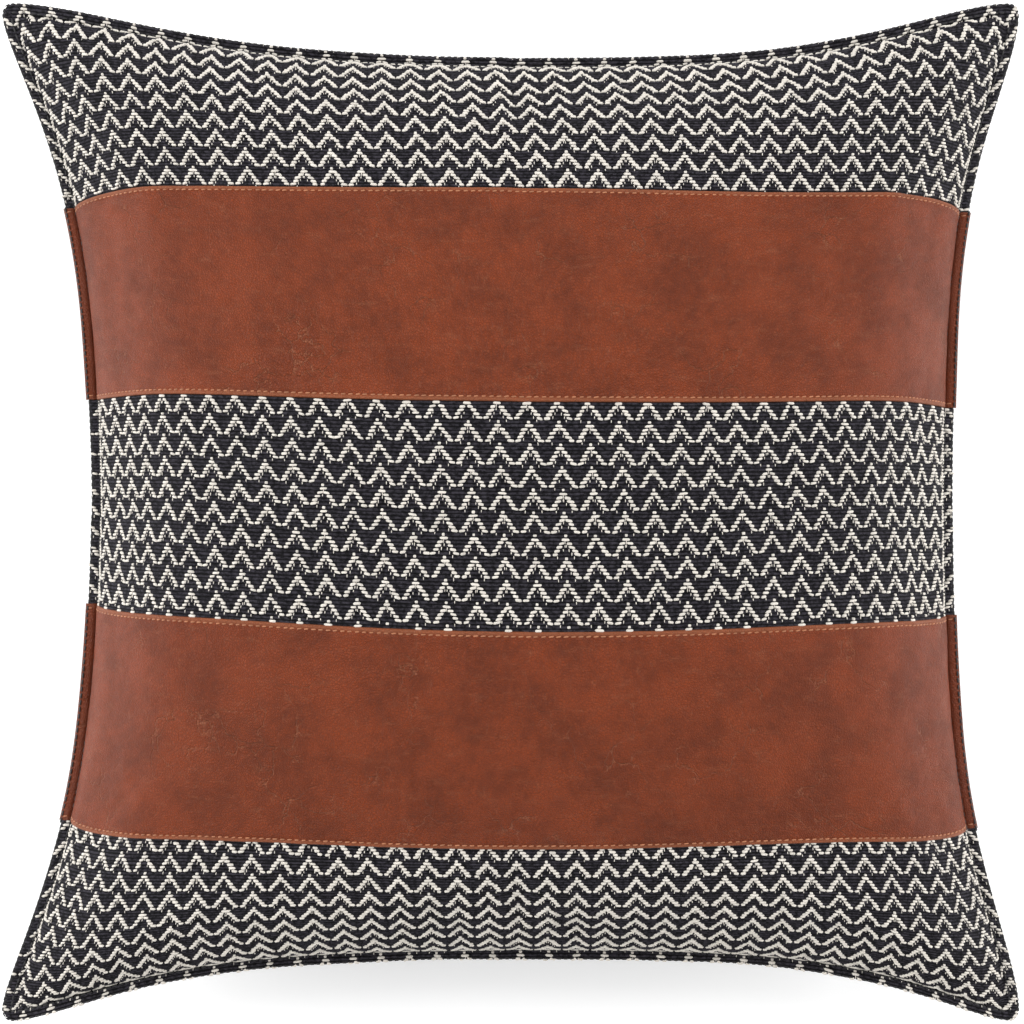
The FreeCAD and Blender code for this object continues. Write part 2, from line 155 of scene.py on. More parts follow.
def sample(grid, s, t):
    """Value of a square grid at s across and t up, each from -1 to 1, by cubics through its points."""
    count = grid.shape[0]
    at_s = (np.clip(s, -1, 1) + 1) / 2 * (count - 1)
    at_t = (np.clip(t, -1, 1) + 1) / 2 * (count - 1)
    base_s = np.minimum(at_s.astype(int), count - 2)
    base_t = np.minimum(at_t.astype(int), count - 2)
    weight_s = cubic_weights(at_s - base_s)
    weight_t = cubic_weights(at_t - base_t)
    padded = np.pad(grid, ((1, 1), (1, 1)) + ((0, 0),) * (grid.ndim - 2), mode="reflect", reflect_type="odd")
    total = 0.0
    for j in range(4):
        for i in range(4):
            share = (weight_t[j] * weight_s[i])[..., None]
            total = total + share * padded[base_t + j, base_s + i]
    return total


def value_noise(x, y, seed):
    """Smooth noise from -1 to 1: random values on a unit lattice, eased between its points."""
    rng = np.random.default_rng(seed)
    table = rng.uniform(-1, 1, (64, 64))
    xi, yi = np.floor(x).astype(int), np.floor(y).astype(int)
    fx, fy = smooth(x - xi, 0, 1), smooth(y - yi, 0, 1)
    corner = lambda i, j: table[(yi + j) % 64, (xi + i) % 64]
    low = corner(0, 0) * (1 - fx) + corner(1, 0) * fx
    high = corner(0, 1) * (1 - fx) + corner(1, 1) * fx
    return low * (1 - fy) + high * fy


# ---------------------------------------------------------------- the form of the filled cover

class Form:
    """Where each point of the flat cover lies on the filled pillow.

    The flat cover is measured from its middle: a across and b up. Inside the crease it lies on two domes,
    front and back, whose sections are half ellipses and whose plan is a square with its sides drawn in.
    Each dome is laid out so that equal lengths of cloth are equal lengths along it."""

    # points a side of the finished grid, and of the one it is laid out from; step of cloth for a
    # normal; frames that the filling takes to swell
    COUNT = 97
    DENSE = 193
    STEP = 0.4 * MM
    FRAMES = 20
    # half of the flange's thickness, and half of it where the crease is stitched through
    FLANGE_THICK = 1.9 * MM
    SEAM_THICK = 0.8 * MM
    FLOOR_GAP = 1.0 * MM
    # each side: how much of a half side the draw-in reaches over, towards its two ends, and its power
    REACH = {"left": (0.374, 0.348, 1.32), "right": (0.360, 0.324, 1.52),
             "bottom": (0.331, 0.287, 1.36), "top": (0.423, 0.338, 1.56)}

    def __init__(self, sizes):
        self.sizes = sizes
        self.crease = sizes.cover / 2 - sizes.flange
        self.front = self.laid_out(1.0)
        self.back = self.laid_out(-1.0)
        self.swell()
        self.flatten_back()

    def draw_in(self, side, along):
        """Share of the draw-in at a place along a side, from -1 to 1: 1 - exp(-(share / reach) ** power),
        where share is the way from the corner to the middle of the side."""
        low, high, power = self.REACH[side]
        reach = np.where(along < 0, low, high)
        share = np.clip((1 - np.abs(along)) * HALF_HEIGHT / (HALF_HEIGHT - self.sizes.tip_round), 0, 1)
        return 1 - np.exp(-((share / reach) ** power))

    def plan(self, across, up, inset):
        """The square laid into the outline, a given distance inside its edge, by blending opposite sides."""
        left = -HALF_WIDTH + inset + self.sizes.pull_left * self.draw_in("left", up)
        right = HALF_WIDTH - inset - self.sizes.pull_right * self.draw_in("right", up)
        bottom = -HALF_HEIGHT + inset + self.sizes.pull_bottom * self.draw_in("bottom", across)
        top = HALF_HEIGHT - inset - self.sizes.pull_top * self.draw_in("top", across)
        x = left + (right - left) * (across + 1) / 2
        y = bottom + (top - bottom) * (up + 1) / 2
        return x, y

    def dome(self, alpha, beta, sign):
        """Point of a dome at two angles: its place in plan follows their sines, across and up, and its height
        is rise * sqrt((1 - |across| ** power) * (1 - |up| ** power))."""
        across, up = np.sin(alpha), np.sin(beta)
        x, y = self.plan(across, up, self.sizes.flange)
        power = 2.0 if sign > 0 else 3.0
        crown = (1 - np.abs(across) ** power) * (1 - np.abs(up) ** power)
        rise = FRONT_RISE if sign > 0 else self.sizes.back_drop
        z = sign * rise * np.sqrt(np.clip(crown, 0, None))
        return np.stack([x, y, z], -1)

    def laid_out(self, sign):
        """Grid of a dome at even steps of cloth: Newton steps move each point's two angles
        until its shares of the arc lengths across and up are its own places on the cloth."""
        angle = np.linspace(-np.pi / 2, np.pi / 2, self.DENSE)
        alpha, beta = np.meshgrid(angle, angle)
        points = self.dome(alpha, beta, sign)
        shares = []
        for axis in (1, 0):
            step = np.linalg.norm(np.diff(points, axis=axis), axis=-1)
            run = np.insert(np.cumsum(step, axis=axis), 0, 0, axis=axis)
            whole = np.take(run, [-1], axis=axis)
            shares.append(2 * run / whole - 1)
        share = np.stack(shares, -1)
        slope_s = np.gradient(share[..., 0], angle, axis=1)
        slope_t = np.gradient(share[..., 1], angle, axis=0)
        slopes = np.stack([slope_s, slope_t], -1)
        line = np.linspace(-1, 1, self.COUNT)
        s, t = np.meshgrid(line, line)
        a, b = np.arcsin(s), np.arcsin(t)
        for _ in range(12):
            here = sample(share, a / (np.pi / 2), b / (np.pi / 2))
            slope = np.clip(sample(slopes, a / (np.pi / 2), b / (np.pi / 2)), 0.25, None)
            a = np.clip(a + 0.8 * (s - here[..., 0]) / slope[..., 0], -np.pi / 2, np.pi / 2)
            b = np.clip(b + 0.8 * (t - here[..., 1]) / slope[..., 1], -np.pi / 2, np.pi / 2)
        a[:, 0], a[:, -1], b[0, :], b[-1, :] = -np.pi / 2, np.pi / 2, -np.pi / 2, np.pi / 2
        grid = self.dome(a, b, sign)
        if sign < 0:
            floor = -SEAM_LEVEL
            soft = 14 * MM
            gap = grid[..., 2] - floor
            grid[..., 2] = floor + (gap + np.sqrt(gap * gap + soft * soft)) / 2 - soft * 0.12
            rim = smooth(self.rim_distance(s, t), 0, 0.35)
            grid[..., 2] = grid[..., 2] * rim + self.dome(a, b, sign)[..., 2] * (1 - rim)
        return grid

    @staticmethod
    def rim_distance(s, t):
        """Distance from the crease as a share of the half side: 1 less the larger of |s| and |t|."""
        return 1 - np.maximum(np.abs(s), np.abs(t))

    def swell(self):
        """Cloth simulation of both domes, sewn together at the crease and blown up by the filling. Each
        point's shift is cut to the swelling and eased to nothing at the crease."""
        count = self.COUNT
        index = np.arange(count * count).reshape(count, count)
        back_index = index + count * count
        rim = np.zeros((count, count), bool)
        rim[[0, -1], :] = rim[:, [0, -1]] = True
        back_index[rim] = index[rim]
        faces = []
        for lines, flip in ((index, False), (back_index, True)):
            quad = np.stack([lines[:-1, :-1], lines[:-1, 1:], lines[1:, 1:], lines[1:, :-1]], -1)
            quad = quad.reshape(-1, 4)
            faces.append(quad[:, ::-1] if flip else quad)
        faces = np.concatenate(faces)
        points = np.concatenate([self.front.reshape(-1, 3), self.back.reshape(-1, 3)])
        used, compact = np.unique(faces, return_inverse=True)
        mesh = bpy.data.meshes.new("swelling")
        mesh.from_pydata(points[used].tolist(), [], compact.reshape(faces.shape).tolist())
        body = bpy.data.objects.new("swelling", mesh)
        bpy.context.scene.collection.objects.link(body)
        seam = body.vertex_groups.new(name="seam")
        pinned = np.isin(used, index[rim])
        seam.add(np.flatnonzero(pinned).tolist(), 1.0, "REPLACE")
        cloth = body.modifiers.new("cloth", "CLOTH")
        cloth.settings.quality = 6
        cloth.settings.mass = 0.4
        cloth.settings.tension_stiffness = cloth.settings.compression_stiffness = 30
        cloth.settings.shear_stiffness = 12
        cloth.settings.bending_stiffness = 1.2
        cloth.settings.use_pressure = True
        cloth.settings.uniform_pressure_force = 4.0
        cloth.settings.shrink_min = -0.004
        cloth.settings.vertex_group_mass = "seam"
        cloth.settings.effector_weights.gravity = 0
        cloth.point_cache.frame_start, cloth.point_cache.frame_end = 1, self.FRAMES
        scene = bpy.context.scene
        for number in range(1, self.FRAMES + 1):
            scene.frame_set(number)
        shown = body.evaluated_get(bpy.context.evaluated_depsgraph_get())
        blown = np.empty(len(used) * 3)
        shown.data.vertices.foreach_get("co", blown)
        moved = points.copy()
        moved[used] = blown.reshape(-1, 3)
        scene.frame_set(1)
        bpy.data.objects.remove(body)
        shift = moved - points
        length = np.linalg.norm(shift, axis=1, keepdims=True)
        shift *= np.minimum(1, self.sizes.puff / np.maximum(length, 1e-9))
        line = np.linspace(-1, 1, count)
        inner = smooth(self.rim_distance(*np.meshgrid(line, line)), 0, 0.16)[..., None]
        front, back = np.split(shift, 2)
        self.front = self.front + front.reshape(count, count, 3) * inner
        self.back = self.back + back.reshape(count, count, 3) * inner

    def flatten_back(self):
        """Keeps the back on the floor, and lays it on the zip's straight slope where the zip is sewn in:
        height = level at the seam - (y - seam) * tan(slope), eased off above, below and beyond the zip."""
        self.back[..., 2] = np.maximum(self.back[..., 2], -SEAM_LEVEL + self.FLOOR_GAP)
        x, y, z = np.moveaxis(self.back, -1, 0)
        top = np.array([(TAPE_LOW[1] + STRIP_TAPE_HIGH[1]) / 2, (TAPE_LOW[2] + STRIP_TAPE_HIGH[2]) / 2])
        run = STRIP_TAPE_LOW[1] - TAPE_HIGH[1]
        rise = STRIP_TAPE_HIGH[2] - TAPE_LOW[2]
        self.zip_slope = math.atan2(rise, -run)
        self.zip_seam, self.zip_level = float(top[0]), float(top[1])
        flat = self.zip_level - SEAM_LEVEL - (y - self.zip_seam) * math.tan(self.zip_slope)
        flat = flat - 0.9 * MM / math.cos(self.zip_slope)
        near = 1 - smooth(np.abs(y - self.zip_seam), 13 * MM, 46 * MM)
        along = 1 - smooth(np.abs(x), TAPE_HIGH[0], TAPE_HIGH[0] + 45 * MM)
        weight = near * along
        self.back[..., 2] = z * (1 - weight) + np.minimum(flat, 0) * weight

    # the whole cover, flange included

    def sagged(self, a, b):
        """The cloth's own drift, in millimetres: the bands sink a little in the middle of the pillow, and
        the lower ones tilt down to the right. It fades to nothing at the upper and lower crease."""
        across = a / self.crease
        up = b / self.crease
        bow = np.where(a < 0, 8.0, 5.5) * across ** 2 * (1 - 1.46 * up ** 2)
        sink = 3.5 + 2.6 * up + 7.7 * up ** 2
        tilt = 1.2 * np.clip(1 - 2.5 * up, 0, 2) * across
        return b + (bow - sink - tilt) * MM * (1 - np.clip(np.abs(up), 0, 1) ** 4)

    def place(self, a, b, front=True):
        """Point of the cover at a across and b up on the flat cloth, front or back layer: inside the crease
        a point of the dome, beyond it the crease's point moved out by the distance past it, with rounded
        corners, and lifted by half the flange's thickness."""
        a, b = np.broadcast_arrays(a, b)
        crease, flange = self.crease, self.sizes.flange
        grid = self.front if front else self.back
        over_a = np.maximum(np.abs(a) - crease, 0) / flange
        over_b = np.maximum(np.abs(b) - crease, 0) / flange
        round_a = over_a * np.sqrt(1 - np.minimum(over_b, 1) ** 2 / 2)
        round_b = over_b * np.sqrt(1 - np.minimum(over_a, 1) ** 2 / 2)
        in_a = np.clip(a, -crease, crease)
        in_b = np.clip(b, -crease, crease)
        in_b = self.sagged(in_a, in_b) if front else in_b
        points = sample(grid, in_a / crease, in_b / crease)
        out = np.minimum(np.hypot(round_a, round_b), 1) * flange
        sign = 1.0 if front else -1.0
        inside = np.minimum(crease - np.abs(in_a), crease - np.abs(in_b))
        thick, seam = self.FLANGE_THICK, self.SEAM_THICK
        ridge = thick * np.sqrt(1 - np.clip((out - flange + thick) / thick, 0, 1) ** 2)
        valley = seam + (ridge - seam) * smooth(out, 0, 1.7 * MM)
        layer = np.where(out > 0, valley, seam * (1 - smooth(inside, 0, 7 * MM)))
        wave = self.wave(a, b) * smooth(out, 0, flange)
        return points + np.stack([np.sign(a) * round_a * flange, np.sign(b) * round_b * flange,
                                  sign * layer + wave + SEAM_LEVEL], -1)

    def wave(self, a, b):
        """Slow rise and fall of the flange, more along the lower edge: two sines of the way along it."""
        along = np.where(np.abs(b) > np.abs(a), a, b + 3)
        low = smooth(-b, 0.1, 0.24)
        return (0.7 + 0.9 * low) * MM * (np.sin(along / 0.021) * 0.6 + np.sin(along / 0.0125 + 1.3) * 0.4)

    def normals(self, a, b, front=True):
        """Unit normals of the cover, from differences of its places, outwards on either side."""
        limit = self.sizes.cover / 2
        gap = self.STEP
        left, right = np.clip(a - gap, -limit, limit), np.clip(a + gap, -limit, limit)
        down, up = np.clip(b - gap, -limit, limit), np.clip(b + gap, -limit, limit)
        across = self.place(right, b, front) - self.place(left, b, front)
        upward = self.place(a, up, front) - self.place(a, down, front)
        normal = np.cross(across, upward) * (1 if front else -1)
        return normal / np.maximum(np.linalg.norm(normal, axis=-1, keepdims=True), 1e-12)


FORM = {}


def form():
    """The filled form, worked out once for all pieces."""
    if "form" not in FORM:
        FORM["form"] = Form(bpy.context.scene.pillow_sizes)
    return FORM["form"]


# ---------------------------------------------------------------- meshes

def grid_faces(rows, columns, start=0):
    """Quads of a grid of points, row after row, facing the side from which it runs right and up."""
    index = start + np.arange(rows * columns).reshape(rows, columns)
    return np.stack([index[:-1, :-1], index[:-1, 1:], index[1:, 1:], index[1:, :-1]], -1).reshape(-1, 4)


def shell_faces(rows, columns):
    """Quads of two like grids, an outer and then an inner one, and of the wall round their edges."""
    count = rows * columns
    index = np.arange(count).reshape(rows, columns)
    rim = np.concatenate([index[0, :], index[1:, -1], index[-1, -2::-1], index[-2:0:-1, 0]])
    after = np.roll(rim, -1)
    wall = np.stack([rim + count, after + count, after, rim], -1)
    inner = grid_faces(rows, columns, count)[:, ::-1]
    return np.concatenate([grid_faces(rows, columns), inner, wall])


def tube_faces(stations, around, start=0, closed=False):
    """Quads of rings of points one after another; a closed tube joins the last ring to the first."""
    index = start + np.arange(stations * around).reshape(stations, around)
    if closed:
        index = np.concatenate([index, index[:1]])
    turned = np.roll(index, -1, axis=1)
    return np.stack([index[:-1], turned[:-1], turned[1:], index[1:]], -1).reshape(-1, 4)


def add_piece(name, points, faces, body, finish, cloth=None, facts=None):
    """Makes the mesh object, with its cloth places as a UV map and other values as point attributes."""
    mesh = bpy.data.meshes.new(name)
    faces = [face for group in (faces if isinstance(faces, list) else [faces]) for face in group.tolist()]
    mesh.from_pydata(points.reshape(-1, 3).tolist(), [], faces)
    if cloth is not None:
        corners = np.empty(len(mesh.loops), np.int32)
        mesh.loops.foreach_get("vertex_index", corners)
        layer = mesh.uv_layers.new(name="cloth")
        layer.data.foreach_set("uv", cloth.reshape(-1, 2)[corners].astype(np.float32).ravel())
    for fact, values in (facts or {}).items():
        attribute = mesh.attributes.new(fact, "FLOAT", "POINT")
        attribute.data.foreach_set("value", np.ravel(values).astype(np.float32))
    mesh.shade_smooth()
    mesh.materials.append(finish)
    piece = bpy.data.objects.new(name, mesh)
    bpy.context.scene.collection.objects.link(piece)
    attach(piece, body)
    return piece


def add_shell(name, a, b, lift, thickness, front, finish, facts=None):
    """Shell of cloth over a grid of cloth places: its outer face is place + normal * lift, and its inner one
    place - normal * thickness."""
    cover = form()
    places = cover.place(a, b, front)
    normals = cover.normals(a, b, front)
    outer = places + normals * np.broadcast_to(lift, a.shape)[..., None]
    inner = places - normals * np.broadcast_to(thickness, a.shape)[..., None]
    faces = shell_faces(*a.shape)
    if not front:
        faces = faces[:, ::-1]
    cloth = np.stack([a, b], -1) * 10
    doubled = {fact: np.stack([values, values]) for fact, values in (facts or {}).items()}
    return add_piece(name, np.stack([outer, inner]), faces, "root", finish,
                     np.stack([cloth, cloth]), doubled)


# a short length of yarn: rings of five points, flat underneath, with its two ends tucked down
YARN_ALONG = np.array([-1.0, -0.55, 0.55, 1.0])
YARN_GIRTH = np.array([0.35, 1.0, 1.0, 0.35])
YARN_SINK = np.array([0.7, 0.0, 0.0, 0.7])
YARN_TURN = np.radians([-25.0, 40.0, 90.0, 140.0, 205.0])


def add_yarns(name, a, b, heading, length, width, height, lift, finish, front=True, shade=None):
    """Short lengths of yarn lying on the cover. Each is a flattened tube along its heading: a ring's point at
    a turn lies aside by girth * width / 2 * cos(turn) and up by (girth * sin(turn) - sink) * height + lift,
    and the girth shrinks and the sink grows at both ends."""
    cover = form()
    count = len(a)
    length, width, height, lift, heading = (
        np.broadcast_to(part, a.shape)[:, None, None] for part in (length, width, height, lift, heading))
    along = YARN_ALONG[None, :, None] * length / 2
    aside = (YARN_GIRTH[:, None] * np.cos(YARN_TURN))[None] * width / 2
    up = (YARN_GIRTH[:, None] * np.sin(YARN_TURN) - YARN_SINK[:, None])[None]
    up = up * height + lift
    along = np.broadcast_to(along, up.shape)
    c, s = np.cos(heading), np.sin(heading)
    limit = cover.sizes.cover / 2 - 0.15 * MM
    at_a = np.clip(a[:, None, None] + along * c - aside * s, -limit, limit)
    at_b = np.clip(b[:, None, None] + along * s + aside * c, -limit, limit)
    points = cover.place(at_a, at_b, front) + cover.normals(a, b, front)[:, None, None, :] * up[..., None]
    start = (np.arange(count) * up.shape[1] * up.shape[2])[:, None, None]
    tube = tube_faces(len(YARN_ALONG), len(YARN_TURN))[None] + start
    last = (len(YARN_ALONG) - 1) * len(YARN_TURN)
    caps = np.array([[0, 2, 1], [0, 3, 2], [0, 4, 3]])
    caps = np.concatenate([caps, caps[:, ::-1] + last])[None] + start
    tube, caps = tube.reshape(-1, 4), caps.reshape(-1, 3)
    if front:
        tube, caps = tube[:, ::-1], caps[:, ::-1]
    shades = np.random.default_rng(len(a)).uniform(0, 1, count) if shade is None else shade
    shades = np.repeat(shades, up.shape[1] * up.shape[2])
    return add_piece(name, points, [tube, caps], "root", finish,
                     np.stack([at_a, at_b], -1) * 10, {"shade": shades})


# ---------------------------------------------------------------- materials

class Nodes:
    """Short names for the shader nodes that the finishes use."""

    def __init__(self, name):
        self.material = bpy.data.materials.new(name)
        self.material.use_nodes = True
        self.tree = self.material.node_tree
        self.shader = self.tree.nodes["Principled BSDF"]

    def node(self, kind, inputs=(), **settings):
        node = self.tree.nodes.new(kind)
        for key, value in settings.items():
            setattr(node, key, value)
        for key, value in dict(inputs).items():
            if isinstance(value, bpy.types.NodeSocket):
                self.tree.links.new(value, node.inputs[key])
            else:
                node.inputs[key].default_value = value
        return node

    def places(self, stretch=(1, 1, 1), turn=0.0, source="cloth"):
        """Places on the cloth, in tenths of a metre, or in the object in metres, stretched for a pattern."""
        if source == "cloth":
            vector = self.node("ShaderNodeUVMap", uv_map="cloth").outputs["UV"]
        else:
            vector = self.node("ShaderNodeTexCoord").outputs["Object"]
        return self.node("ShaderNodeMapping", {"Vector": vector, "Scale": stretch,
                                               "Rotation": (0, 0, turn)}).outputs["Vector"]

    def noise(self, vector, scale, detail=3.0, roughness=0.55):
        return self.node("ShaderNodeTexNoise", {"Vector": vector, "Scale": scale, "Detail": detail,
                                                "Roughness": roughness}).outputs["Fac"]

    def cells(self, vector, scale, feature="DISTANCE_TO_EDGE"):
        return self.node("ShaderNodeTexVoronoi", {"Vector": vector, "Scale": scale},
                         feature=feature).outputs["Distance"]

    def wave(self, vector, scale, direction="X", distortion=0.0):
        return self.node("ShaderNodeTexWave", {"Vector": vector, "Scale": scale, "Distortion": distortion},
                         bands_direction=direction).outputs["Fac"]

    def fact(self, name):
        return self.node("ShaderNodeAttribute", attribute_name=name).outputs["Fac"]

    def ease(self, value, low, high, start=0.0, end=1.0):
        return self.node("ShaderNodeMapRange", {"Value": value, "From Min": low, "From Max": high,
                                                "To Min": start, "To Max": end},
                         interpolation_type="SMOOTHSTEP").outputs["Result"]

    def sum(self, operation, first, second):
        return self.node("ShaderNodeMath", {0: first, 1: second}, operation=operation).outputs["Value"]

    def mix(self, factor, first, second, blend="MIX"):
        node = self.tree.nodes.new("ShaderNodeMix")
        node.data_type, node.blend_type = "RGBA", blend
        for socket, value in ((node.inputs[0], factor), (node.inputs[6], first), (node.inputs[7], second)):
            if isinstance(value, bpy.types.NodeSocket):
                self.tree.links.new(value, socket)
            elif socket is node.inputs[0]:
                socket.default_value = value
            else:
                socket.default_value = (*value, 1.0)
        return node.outputs[2]

    def bump(self, height, depth, strength=1.0):
        return self.node("ShaderNodeBump", {"Height": height, "Distance": depth,
                                            "Strength": strength}).outputs["Normal"]

    def finish(self, **sockets):
        """Sets the shader's sockets and gives the material."""
        for label, value in sockets.items():
            socket = self.shader.inputs[label.replace("_", " ")]
            if isinstance(value, bpy.types.NodeSocket):
                self.tree.links.new(value, socket)
            else:
                socket.default_value = value
        return self.material


def tint(value, share):
    """A colour made lighter or darker by a share."""
    return tuple(min(1.0, part * share) for part in value)


def ground_finish(colours):
    """Dark ribbed yarn: short fibres along the rows with a painted cool bloom where they catch the light, and
    painted shade in the grooves.
    """
    n = Nodes("ground_yarn")
    fibres = n.noise(n.places((150, 260, 1)), 1.0, 4.0, 0.72)
    dashes = n.noise(n.places((48, 66, 1)), 1.0, 3.0, 0.62)
    dark = tuple(colours.yarn_dark)
    base = n.mix(n.ease(dashes, 0.38, 0.62), tint(dark, 0.30), tint(dark, 2.6))
    # painted highlight: the fibres mixed towards a much lighter copy of the dark yarn, the cool bloom
    base = n.mix(n.ease(fibres, 0.50, 0.70, 0, 0.6), base, tint(dark, 4.8))
    # painted shade: where the rib attribute is low, in the grooves between ribs, the yarn is darkened nearly
    # to black
    base = n.mix(n.ease(n.fact("rib"), 0.0, 0.7, 0.92, 0.0), base, tint(dark, 0.08))
    return n.finish(Base_Color=base, Roughness=0.9, Specular_IOR_Level=0.12, Sheen_Weight=0.03,
                    Normal=n.bump(fibres, 0.45 * MM))


def pale_finish(colours):
    """Ivory yarn: fine fibres along each float, a little darker from float to float."""
    n = Nodes("zigzag_yarn")
    fibres = n.noise(n.places((160, 1100, 1)), 1.0, 3.0, 0.6)
    pale = tuple(colours.yarn_pale)
    base = n.mix(n.fact("shade"), pale, tint(pale, 0.80))
    base = n.mix(n.ease(fibres, 0.30, 0.58, 0.55, 0), base, (0.40, 0.33, 0.27))
    return n.finish(Base_Color=base, Roughness=0.85, Specular_IOR_Level=0.2, Sheen_Weight=0.05,
                    Normal=n.bump(fibres, 0.3 * MM))


def leather_finish(colours):
    """Brushed hide: fine grain, soft mottling, rubbed pale places, hair-fine creases, a paler turned edge,
    and painted shade on the flange.
    """
    n = Nodes("leather")
    cloth = n.places()
    grain = n.cells(n.places((88, 88, 1)), 1.0)
    pores = n.noise(cloth, 300.0, 3.0, 0.6)
    mottle = n.noise(cloth, 3.2, 6.0, 0.66)
    fine = n.noise(cloth, 26.0, 5.0, 0.7)
    streak = n.noise(n.places((7, 24, 1), 0.35), 1.0, 6.0, 0.7)
    scuff = n.noise(n.places((30, 11, 1), 0.8), 1.0, 7.0, 0.75)
    drift = n.node("ShaderNodeTexNoise", {"Vector": n.places(), "Scale": 5.0, "Detail": 4.0}).outputs["Color"]
    warp = n.node("ShaderNodeVectorMath", {0: n.places((3.1, 3.1, 1), 0.5), 1: drift},
                  operation="ADD").outputs["Vector"]
    crease = n.cells(warp, 1.5)
    faint = n.ease(n.noise(cloth, 2.4, 3.0), 0.48, 0.62)
    main, pale = tuple(colours.leather), tuple(colours.leather_pale)
    base = n.mix(n.ease(mottle, 0.36, 0.64), tint(main, 0.72), tint(main, 1.26))
    base = n.mix(n.ease(fine, 0.35, 0.7, 0, 0.4), base, tint(main, 1.45))
    base = n.mix(n.ease(streak, 0.52, 0.72, 0, 0.40), base, pale)
    base = n.mix(n.ease(scuff, 0.57, 0.72, 0, 0.65), base, pale)
    line = n.sum("MULTIPLY", n.ease(crease, 0.0, 0.02, 0.8, 0.0), faint)
    base = n.mix(line, base, pale)
    base = n.mix(n.ease(pores, 0.28, 0.58, 0.4, 0), base, tint(main, 0.5))
    base = n.mix(n.ease(grain, 0.0, 0.18, 0.5, 0.0), base, tint(main, 0.45))
    base = n.mix(n.fact("edge"), base, tuple(colours.leather_edge))
    # painted shade: the leather darkened on the flange past the crease, where the fold attribute is set
    base = n.mix(n.fact("fold"), base, tint(main, 0.42))
    relief = n.sum("ADD", n.sum("MULTIPLY", n.ease(grain, 0.0, 0.22), 0.6), n.sum("MULTIPLY", pores, 0.7))
    relief = n.sum("SUBTRACT", relief, n.sum("MULTIPLY", line, 1.5))
    return n.finish(Base_Color=base, Roughness=n.ease(mottle, 0.3, 0.7, 0.52, 0.42), Specular_IOR_Level=0.24,
                    Normal=n.bump(relief, 0.40 * MM))


def thread_finish(name, thread):
    """Twisted sewing thread: fine slanting twist over its colour."""
    n = Nodes(name)
    twist = n.wave(n.places((1, 1, 1), 0.7), 60.0)
    base = n.mix(twist, tint(thread, 0.7), thread)
    base = n.mix(n.fact("shade"), base, tint(thread, 1.3))
    return n.finish(Base_Color=base, Roughness=0.55, Sheen_Weight=0.1, Normal=n.bump(twist, 0.06 * MM))


def back_finish(colours):
    """Plain charcoal weave: fine crossing yarns with uneven colour and a brushed bloom."""
    n = Nodes("back_cloth")
    across = n.wave(n.places(), 45.0, "X", 0.6)
    up = n.wave(n.places(), 45.0, "Y", 0.6)
    fibres = n.noise(n.places(), 240.0, 4.0, 0.7)
    slubs = n.noise(n.places((6, 160, 1)), 1.0, 3.0)
    weave = n.sum("MULTIPLY", across, up)
    back = tuple(colours.back)
    base = n.mix(weave, tint(back, 0.7), tint(back, 1.9))
    base = n.mix(n.ease(fibres, 0.5, 0.8, 0, 0.5), base, tint(back, 4.0))
    base = n.mix(n.ease(slubs, 0.55, 0.75, 0, 0.4), base, tint(back, 2.6))
    relief = n.sum("ADD", weave, fibres)
    return n.finish(Base_Color=base, Roughness=0.88, Sheen_Weight=0.2, Normal=n.bump(relief, 0.18 * MM))


def tape_finish(name, tone, source="object"):
    """Narrow woven tape: a fine herringbone of dark yarn."""
    n = Nodes(name)
    rows = n.wave(n.places(source=source), 420.0, "DIAGONAL", 1.0)
    fibres = n.noise(n.places(source=source), 1600.0, 3.0)
    base = n.mix(rows, tint(tone, 0.6), tint(tone, 1.5))
    base = n.mix(n.ease(fibres, 0.5, 0.75, 0, 0.4), base, tint(tone, 2.4))
    return n.finish(Base_Color=base, Roughness=0.8, Sheen_Weight=0.1, Normal=n.bump(rows, 0.08 * MM))


def metal_finish():
    """Blackened zinc: dark, with fine scratches and lighter metal where it is rubbed."""
    n = Nodes("zip_metal")
    scratch = n.noise(n.places((300, 2400, 300), source="object"), 1.0, 4.0)
    worn = n.noise(n.places(source="object"), 260.0, 4.0, 0.6)
    base = n.mix(n.ease(worn, 0.52, 0.72), (0.10, 0.10, 0.105), (0.34, 0.33, 0.32))
    return n.finish(Base_Color=base, Metallic=1.0, Roughness=n.ease(scratch, 0.3, 0.7, 0.28, 0.48),
                    Normal=n.bump(scratch, 0.02 * MM))


def coil_finish():
    """Black nylon coil: smooth monofilament, faintly clouded along its length."""
    n = Nodes("zip_coil")
    cloud = n.noise(n.places(source="object"), 700.0, 3.0)
    base = n.mix(cloud, (0.010, 0.010, 0.011), (0.032, 0.031, 0.032))
    return n.finish(Base_Color=base, Roughness=n.ease(cloud, 0.3, 0.7, 0.28, 0.42),
                    Normal=n.bump(cloud, 0.03 * MM))


def ticking_finish(name, tone):
    """Plain white cotton or filling: fine crossing yarns, slightly uneven in colour."""
    n = Nodes(name)
    weave = n.sum("MULTIPLY", n.wave(n.places(source="object"), 500.0, "X"),
                  n.wave(n.places(source="object"), 500.0, "Y"))
    cloud = n.noise(n.places(source="object"), 30.0, 4.0)
    base = n.mix(weave, tint(tone, 0.85), tone)
    base = n.mix(n.ease(cloud, 0.35, 0.7, 0, 0.25), base, tint(tone, 0.8))
    return n.finish(Base_Color=base, Roughness=0.85, Sheen_Weight=0.1, Normal=n.bump(weave, 0.1 * MM))


FINISHES = {}


